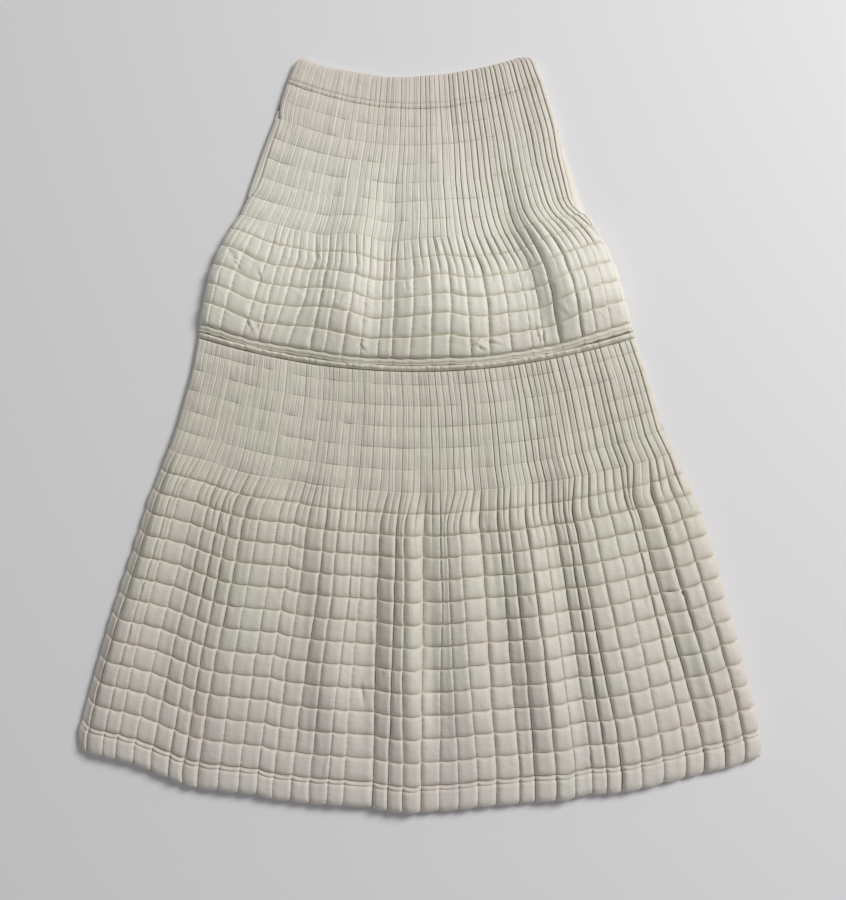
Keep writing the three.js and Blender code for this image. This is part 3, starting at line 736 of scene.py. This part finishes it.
def stops_down(tier, first, last, open_stops):
    """Distances down at which a front panel has a line of points."""
    pitch = (tier["foot"] - tier["release"]) / tier["open_rows"]
    rows_up = [n - stop for n in range(tier["pleated_rows"], 0, -1) for stop in PLEATED_ROW_STOPS]
    downs = [tier["release"] - rows * SQUARE for rows in rows_up]
    downs += [tier["release"] + (n + stop) * pitch for n in range(tier["open_rows"]) for stop in open_stops]
    return [first] + [down for down in downs if first + 0.4 < down < last - 0.3] + [last]


def tier_front(name, tier, grid, outer, *cut):
    """The front of a tier, from its outer face and the columns and distances down of that face's points."""
    columns, downs = grid[0][0], grid[1][:, 0]
    inner = (np.arange(len(tier["squares"]) + 1.0), np.linspace(downs[0], downs[-1], tier["inner_lines"]))
    inner_grid = np.meshgrid(*inner)
    made = shell(
        name,
        outer,
        (columns, downs),
        inner_face(tier, *inner_grid, pocket_insets(tier, inner_grid[1])),
        inner,
        quilted_cloth,
        tier["release"],
        creases_of(tier, columns, downs),
    )
    dress(made, "quilted_cloth", name, *cut)


def upper_shape(height, down):
    """Pressed down at the casing and where the strip is topstitched."""
    height = height - SEAM_DENT * near(down - UPPER["top"], 1.0)
    strip = smoothstep(down, UPPER["foot"] - 0.6, UPPER["foot"] + 1.2)
    height = lerp(height, STRIP_HEIGHT + 0.06 * (height - STRIP_HEIGHT), strip)
    for line in STRIP_STITCHING:
        height = height - STRIP_DENT * near(down - line, 0.7)
    return np.maximum(height, 0.5) * lerp(0.15, 1, smoothstep(TIER_SEAM - down, 0.1, 1.5))


upper_downs = stops_down(UPPER, UPPER["top"] - 1.6, UPPER["foot"], FINE_OPEN_STOPS)
upper_downs += [UPPER["foot"] + line for line in STRIP_LINES]
upper_grid = np.meshgrid(column_places(UPPER), upper_downs)
upper_outer = front_points(UPPER, *upper_grid, upper_shape)
tier_front("upper_tier_front", UPPER, upper_grid, upper_outer, (0.637, 0.321), 0.161)


# The pocket facings: smooth strips of the unquilted cloth that line the pockets, set in the side seams. They
# show as soft rolls where the front stands back from the seams. The crown gives the share of the way in from
# the seam and the height there.
FACING_CROWN = [(0, 0.2), (0.05, 0.6), (0.2, 1.3), (0.42, 2.2), (0.6, 2.9), (0.7, 2.7), (0.8, 0.8), (1, 0.5)]
FACING_TUCK = 2.5
FACING_LINES = 40


def facing(name, hand, first, last):
    downs = UPPER["top"] + SQUARE * np.linspace(first, last, FACING_LINES)
    shares = np.array([row[0] for row in FACING_CROWN], float)
    crown = np.array([row[1] for row in FACING_CROWN], float)
    share, down = np.meshgrid(shares, downs)
    side = np.full_like(down, 0.0 if hand < 0 else 1.0)
    seam_x, seam_y, _ = plan(side, down)
    front_x, front_y, _ = plan(side, down, *pocket_insets(UPPER, down))
    x = lerp(seam_x, front_x - hand * FACING_TUCK, share)
    y = lerp(seam_y, front_y, share)
    height = np.interp(share, shares, crown) + 0.25 * wander(61, down / 14, share * 2)
    upper = np.stack([x, y, FLOOR_GAP + height], -1)
    lower = np.stack([x, y, np.full_like(x, FLOOR_GAP)], -1)
    if hand > 0:
        upper, lower = upper[:, ::-1], lower[:, ::-1]
    made = shell(name, upper, (shares, downs), lower, (shares, downs), quilted_cloth)
    dress(made, "quilted_cloth", name, (0.011, 0.104))


facing("pocket_facing_left", -1, 2.05, 6.1)
facing("pocket_facing_right", 1, 2.75, 7.0)


# The welt at the tier seam: a narrow roll of the same cloth, filled, and caught between the strip and the
# lower tier.
WELT_WIDTH = 6.5
WELT_LOFT = 6.2
WELT_SHARES = (0, 0.03, 0.1, 0.22, 0.36, 0.5, 0.64, 0.78, 0.9, 0.97, 1)
WELT_PLACES = (420, 40)  # points across its outer and its inner face


def welt_points(across, down):
    share = (down - TIER_SEAM) / WELT_WIDTH
    x, y, from_side = plan(across, down)
    pucker = 1 + 0.14 * wander(71, across * 150, 0.0) + 0.08 * wander(72, across * 60, share * 2)
    height = 0.4 + WELT_LOFT * pucker * np.sqrt(np.clip(1 - (2 * share - 1) ** 2, 0, 1))
    y = y + 0.35 * wander(73, across * 90, 0.0)
    return np.stack([x, y, FLOOR_GAP + height * side_turn(from_side)], -1)


welt_cloth = woven_cloth("welt_cloth")
welt_across, welt_inner_across = (np.linspace(0, 1, count) for count in WELT_PLACES)
welt_downs = TIER_SEAM + SEAM + (WELT_WIDTH - 2 * SEAM) * np.array(WELT_SHARES)
welt_grid = np.meshgrid(welt_inner_across, welt_downs[[0, -1]])
welt_x, welt_y, _ = plan(*welt_grid)
welt_front = shell(
    "tier_welt_front",
    welt_points(*np.meshgrid(welt_across, welt_downs)),
    (welt_across, welt_downs),
    np.stack([welt_x, welt_y, np.full_like(welt_x, FLOOR_GAP)], -1),
    (welt_inner_across, welt_downs[[0, -1]]),
    welt_cloth,
)
dress(welt_front, "welt_cloth", "tier_welt_front", (0.5, 0.012))


# The front of the lower tier: wider quilted cloth, pleated over its first rows and open over thirteen, which
# spreads to the hem in soft folds. The hem is turned up and held by twin-needle stitching with a rib between.
HEM_EDGE = 844
HEM_DEPTH = 26.5
LOWER_FOLDS = [
    (-0.03, 0.03, -0.03, 0.03, 5, 0),
    (0.085, 0.19, 0.10, 0.18, 5.5, -4),
    (0.27, 0.33, 0.34, 0.37, 7, 0),
    (0.41, 0.47, 0.42, 0.485, 11, -4),
    (0.50, 0.57, 0.53, 0.575, 8, 0),
    (0.61, 0.68, 0.66, 0.71, 10, -3),
    (0.74, 0.79, 0.745, 0.80, 7.5, -4),
    (0.89, 0.92, 0.93, 0.955, 4, -3),
]
LOWER_SQUARES = [
    (8, 0, 0, -3),
    (17, 3, -1, 1.5),
    (14, 1, 0, 0.5),
    (18, 1, -4, -1),
    (18, 1, 0, -1.5),
    (18, 2, -1.5, 0),
    (15, 2, -3, 1),
    (15, 3, -4.5, 2),
    (21, 3, -2.5, 1.5),
    (21, 1, -4, 0),
    (19, 1, -1, -1),
    (16, 1, 0, -1.5),
    (18, 1.5, 0, 1.5),
    (19, 2, 4.5, 1.5),
    (18, 2, 2.5, 2),
    (16, 1, 5, 1),
    (30, 1, 2, 1),
    (16, 3, -6, 0.5),
    (15, 3, -2, 1),
    (19, 3, -5.5, 1),
    (18, 3, -1.5, 1.5),
    (20, 1, 2.5, 3.5),
    (19, 1, -8.5, 2.5),
    (19, 1, -10.5, 0.5),
    (24, 3, -3, 0),
    (16, 2, -3.5, 0),
    (22, 3, -4.5, -1),
    (19, 3, -5.5, -2),
    (17, 1, -5.5, -1.5),
    (15, 2, -5, -1.5),
    (15, 3, -6, -2),
    (21, 4, -10, -2.5),
    (22, 2, -9, -2),
    (23, 1, -7, -2),
    (19, 2, -6, -1.5),
    (22, 4, -13, -1),
    (20, 3.5, -10.5, -1),
    (17, 2, -7, -2.5),
]
LOWER_SHORT_CREASES = [
    (1.95, 6.3, 14, 40, 1.8),
    (1.8, 10.1, 13, -38, 2.2),
    (2.1, 8.4, 12, 25, 1.5),
    (6.35, 2.5, 17, 18, 2),
    (6.5, 1.5, 15, 24, 1.8),
    (5.5, 2.0, 20, 4, 2),
    (8.4, 6.05, 11, 74, 1.8),
    (11.15, 4.6, 15, -10, 1.6),
    (14.7, 12.4, 17, -14, 2),
    (16.5, 9.2, 20, 8, 2.2),
    (16.7, 6.7, 16, 6, 2.2),
    (17.6, 8.3, 12, 50, 1.6),
    (21.3, 8.4, 12, 82, 1.5),
    (24.4, 1.6, 24, 3, 2.4),
    (28.9, 12.5, 15, 30, 2),
    (33.65, 6.1, 12, -35, 1.8),
    (35.75, 6.1, 18, 70, 2.4),
    (35.85, 6.45, 15, 76, 2),
    (36.2, 7.4, 13, 62, 1.5),
    (36.8, 10.2, 16, 84, 1.6),
    (26.6, 5.3, 16, 28, 1.6),
    (10.2, 8.2, 12, -12, 1.4),
]
LOWER = {
    "top": TIER_SEAM + WELT_WIDTH,
    "release": TIER_SEAM + WELT_WIDTH + 5.7 * SQUARE,
    "foot": HEM_EDGE - HEM_DEPTH,
    "pleated_rows": 6,
    "open_rows": 13,
    "squares": LOWER_SQUARES,
    "folds": LOWER_FOLDS,
    "foot_lift": 0.26,
    "foot_rise": 1.0,
    "slit_depths": (0.6, 2.9),
    "left_slope": 0.95,
    "evenness": 0.45,
    "sway_rows": [(0, 0), (1.5, 1), (5, 1), (12.5, 0)],
    "dip_rows": [(0, 0.5), (4, 1), (13, 1)],
    "short_creases": LOWER_SHORT_CREASES,
    "pockets": (NO_POCKET, NO_POCKET),
    "inner_lines": 34,
    "sewn_points": (2400, 1200),
    "seed": 123,
}
LOWER_OPEN_STOPS = (0, 0.025, 0.07, 0.17, 0.4, 0.65, 0.82, 0.93, 0.975)
LOWER_TOP_LINES = (SEAM, 0.6, 1.1)
HEM_LINES = (0.6, 1.4, 2.4, 3.4, 4.2, 4.8, 5.4, 6.4, 9, 14, 19, 22, 24, 25.3, 26.1, 26.5)
HEM_STITCHING = (LOWER["foot"], LOWER["foot"] + 4.8)
HEM_DENTS = (0.9, 2.0)  # at the two lines of the stitching
HEM_TURN = 7  # distance in which the turned edge rounds over
HEM_SCALLOP = 1.5


def lower_shape(height, down):
    """Pressed at the welt and at the second line of the hem, and rounded over at the turned edge."""
    height = height * lerp(0.15, 1, smoothstep(down - LOWER["top"], 0, 2.2))
    height = height - HEM_DENTS[1] * near(down - HEM_STITCHING[1], 0.75)
    height = height - HEM_DENTS[0] * near(down - HEM_STITCHING[0], 0.7)
    edge = np.clip((HEM_EDGE - down) / HEM_TURN, 0, 1)
    return height * lerp(0.1, 1, np.sqrt(edge * (2 - edge)))


def hem_scallops(points, column, down):
    """Each square swells the turned edge a little."""
    u = column - np.floor(column)
    points[..., 1] -= HEM_SCALLOP * (hump(u, 0.25) - 0.7) * smoothstep(down, HEM_EDGE - 14, HEM_EDGE)
    return points


lower_downs = [LOWER["top"] + line for line in LOWER_TOP_LINES]
lower_downs += stops_down(LOWER, LOWER["top"] + 2.2, LOWER["foot"], LOWER_OPEN_STOPS)
lower_downs += [LOWER["foot"] + line for line in HEM_LINES]
lower_grid = np.meshgrid(column_places(LOWER), lower_downs)
lower_outer = hem_scallops(front_points(LOWER, *lower_grid, lower_shape), *lower_grid)
tier_front("lower_tier_front", LOWER, lower_grid, lower_outer, (0.931, 0.479), 0.388)


# The backs of the casing, tiers and welt: the same cloths lying level on the table under the fronts, pressed
# flat by the skirt's own weight. Their squares and pleats show only as shallow relief on the underside.
BACK_THICKNESS = 5
BACK_TURN = 9
BACK_RELIEF = 1.3


def back_plan(tier, column, down):
    """Where a back's cloth lies in plan, with the front's columns mirrored."""
    inset = corner_inset(down)
    return plan(1 - across_at(tier, len(tier["squares"]) - column, down), down, inset, inset)


def back_panel(name, tier, first, last, per_column, per_row, finish, *cut):
    """A back between two distances down, with its relief in so many points to a column and to a row."""
    cloth, slot = finish
    count = len(tier["squares"])
    columns = np.linspace(0, count, count * per_column + 1)
    rows = max(2, int(round((last - first) / SQUARE * per_row)) + 1)
    downs = np.linspace(first, last, rows)
    column, down = np.meshgrid(columns, downs)
    x, y, from_side = back_plan(tier, column, down)
    row = row_at(tier, down)
    rise_down = hump(row - np.floor(row), 0.5)
    rise_across = hump((column * 2) % 1, 0.5)
    opened = smoothstep(row, tier["pleated_rows"] - 0.1, tier["pleated_rows"] + 0.7)
    rise_across = lerp(rise_across, hump(column % 1, 0.4), opened)
    relief = rise_down * lerp(0.4, 1, rise_across)
    t = np.clip(from_side / BACK_TURN, 0, 1)
    turn = BACK_THICKNESS * (1 - np.sqrt(t * (2 - t)))
    under = np.stack([x, y, np.maximum(turn, 0) + BACK_RELIEF * (1 - relief) * t], -1)
    inner = (np.linspace(0, count, count + 1), np.linspace(first, last, max(2, rows // per_row + 1)))
    inner_x, inner_y, _ = back_plan(tier, *np.meshgrid(*inner))
    level = np.stack([inner_x, inner_y, np.full_like(inner_x, BACK_THICKNESS)], -1)
    made = shell(name, level, inner, under, (columns, downs), cloth)
    dress(made, slot, name, *cut)


quilted = (quilted_cloth, "quilted_cloth")
welted = (welt_cloth, "welt_cloth")
upper_foot, lower_top, lower_foot = TIER_SEAM - SEAM, LOWER["top"] + SEAM, HEM_EDGE - 1.5
back_panel("waistband_back", UPPER, 0, CASING_END, 8, 8, quilted, (0.42, 0.038))
back_panel("upper_tier_back", UPPER, CASING_DEPTH + SEAM, upper_foot, 8, 8, quilted, (0.637, 0.321), 0.161)
back_panel("tier_welt_back", LOWER, TIER_SEAM + SEAM, LOWER["top"] - SEAM, 4, 16, welted, (0.5, 0.012))
back_panel("lower_tier_back", LOWER, lower_top, lower_foot, 8, 8, quilted, (0.931, 0.479), 0.388)


# The stitching: fine thread of the cloth's colour, in every line of the quilting, twice along the casing's
# foot and the strip, and as the twin lines of the hem. The machine's short stitches lie sunk in the cloth.
STITCH_LENGTH = 2.3
STITCH_GAP = 0.9
STITCH_HEIGHT = 0.3
STITCH_SUNK = 0.1
SIDE_MARGIN = 0.15  # share of a column left unsewn at each side
THREAD_COLOUR = (0.54, 0.515, 0.47, 1)
THREAD_ROUGHNESS = 0.6

thread = paint("thread", THREAD_COLOUR, THREAD_ROUGHNESS)


def stitch_line(points):
    """Middles and directions of the stitches along a line of points on the cloth."""
    steps = np.linalg.norm(np.diff(points, axis=0), axis=1)
    along = np.concatenate([[0], np.cumsum(steps)])
    places = np.arange(STITCH_LENGTH, along[-1] - STITCH_LENGTH, STITCH_LENGTH + STITCH_GAP)

    def at(distances):
        return np.stack([np.interp(distances, along, points[:, axis]) for axis in range(3)], -1)

    return at(places), at(places + STITCH_LENGTH / 2) - at(places - STITCH_LENGTH / 2)


def stitching_tree():
    """Sets one short stitch on each point, turned along the point's direction."""
    tree = bpy.data.node_groups.new("stitching", "GeometryNodeTree")
    inputs = (("Geometry", "Geometry"), ("Stitch Length", "Float"), ("Stitch Height", "Float"))
    for name, kind in (*inputs, ("Thread", "Material")):
        tree.interface.new_socket(name, in_out="INPUT", socket_type="NodeSocket" + kind)
    tree.interface.new_socket("Geometry", in_out="OUTPUT", socket_type="NodeSocketGeometry")
    nodes = tree.nodes
    given = nodes.new("NodeGroupInput").outputs
    ball = feed(nodes.new("GeometryNodeMeshIcoSphere"), {"Radius": 0.5, "Subdivisions": 1})["Mesh"]
    height = given["Stitch Height"]
    size = feed(nodes.new("ShaderNodeCombineXYZ"), {"X": given["Stitch Length"], "Y": height, "Z": height})
    shaping = {"Geometry": ball, "Scale": size["Vector"]}
    long_ball = feed(nodes.new("GeometryNodeTransform"), shaping)["Geometry"]
    ahead = nodes.new("GeometryNodeInputNamedAttribute")
    ahead.data_type = "FLOAT_VECTOR"
    ahead.inputs["Name"].default_value = "ahead"
    turn = nodes.new("FunctionNodeAlignRotationToVector")
    turn.axis = "X"
    turned = feed(turn, {"Vector": ahead.outputs["Attribute"]})["Rotation"]
    setting = {"Points": given["Geometry"], "Instance": long_ball, "Rotation": turned}
    set_on = feed(nodes.new("GeometryNodeInstanceOnPoints"), setting)["Instances"]
    real = feed(nodes.new("GeometryNodeRealizeInstances"), {"Geometry": set_on})["Geometry"]
    painting = {"Geometry": real, "Material": given["Thread"]}
    painted = feed(nodes.new("GeometryNodeSetMaterial"), painting)["Geometry"]
    feed(nodes.new("NodeGroupOutput"), {"Geometry": painted})
    return tree


def sew(name, lines, tree):
    """One piece of stitching along lines of points on the cloth, sunk into it."""
    sunk = np.array([0, 0, STITCH_SUNK])
    middles, aheads = zip(*(stitch_line(line - sunk) for line in lines))
    middles, aheads = np.concatenate(middles) * 0.001, np.concatenate(aheads)
    mesh = bpy.data.meshes.new(name)
    mesh.from_pydata(middles.tolist(), [], [])
    ahead = mesh.attributes.new("ahead", "FLOAT_VECTOR", "POINT")
    ahead.data.foreach_set("vector", aheads.astype(np.float32).ravel())
    points = link(bpy.data.objects.new(name + "_points", mesh))
    sewing = points.modifiers.new("sewing", "NODES")
    sewing.node_group = tree
    sockets = {item.name: item.identifier for item in tree.interface.items_tree if item.in_out == "INPUT"}
    sewing[sockets["Stitch Length"]] = STITCH_LENGTH * 0.001
    sewing[sockets["Stitch Height"]] = STITCH_HEIGHT * 0.001
    sewing[sockets["Thread"]] = thread
    bpy.context.view_layer.update()
    plain = bpy.data.meshes.new_from_object(points.evaluated_get(bpy.context.evaluated_depsgraph_get()))
    bpy.data.objects.remove(points)
    plain.name = name
    sewn = link(bpy.data.objects.new(name, plain))
    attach(sewn, "root")


def sewn_lines(tier, rows, shape):
    """Lines of points on a tier's front, along its rows of stitching and down its open columns' edges."""
    count = len(tier["squares"])
    places = np.linspace(SIDE_MARGIN, count - SIDE_MARGIN, tier["sewn_points"][0])
    downs = np.linspace(tier["release"], tier["foot"], tier["sewn_points"][1])
    lines = [(places, np.full_like(places, down)) for down in rows]
    lines += [(np.full_like(downs, column), downs) for column in range(1, count)]
    return [front_points(tier, *line, shape) for line in lines]


def quilted_rows(tier):
    """Distances down at which a tier's lines of stitching lie."""
    rows = [tier["release"] - n * SQUARE for n in range(tier["pleated_rows"] - 1, -1, -1)]
    count = tier["open_rows"]
    return rows + [lerp(tier["release"], tier["foot"], n / count) for n in range(1, count)]


stitching = stitching_tree()
casing_line = np.linspace(0.2, len(UPPER_SQUARES) - 0.2, UPPER["sewn_points"][0])
casing_sewn = [casing_points(casing_line, np.full_like(casing_line, line)) for line in CASING_STITCHING]
sew("casing_stitching", casing_sewn, stitching)
upper_sewn = sewn_lines(UPPER, quilted_rows(UPPER) + list(STRIP_STITCHING), upper_shape)
sew("upper_tier_stitching", upper_sewn, stitching)
lower_sewn = sewn_lines(LOWER, quilted_rows(LOWER) + list(HEM_STITCHING), lower_shape)
sew("lower_tier_stitching", lower_sewn, stitching)
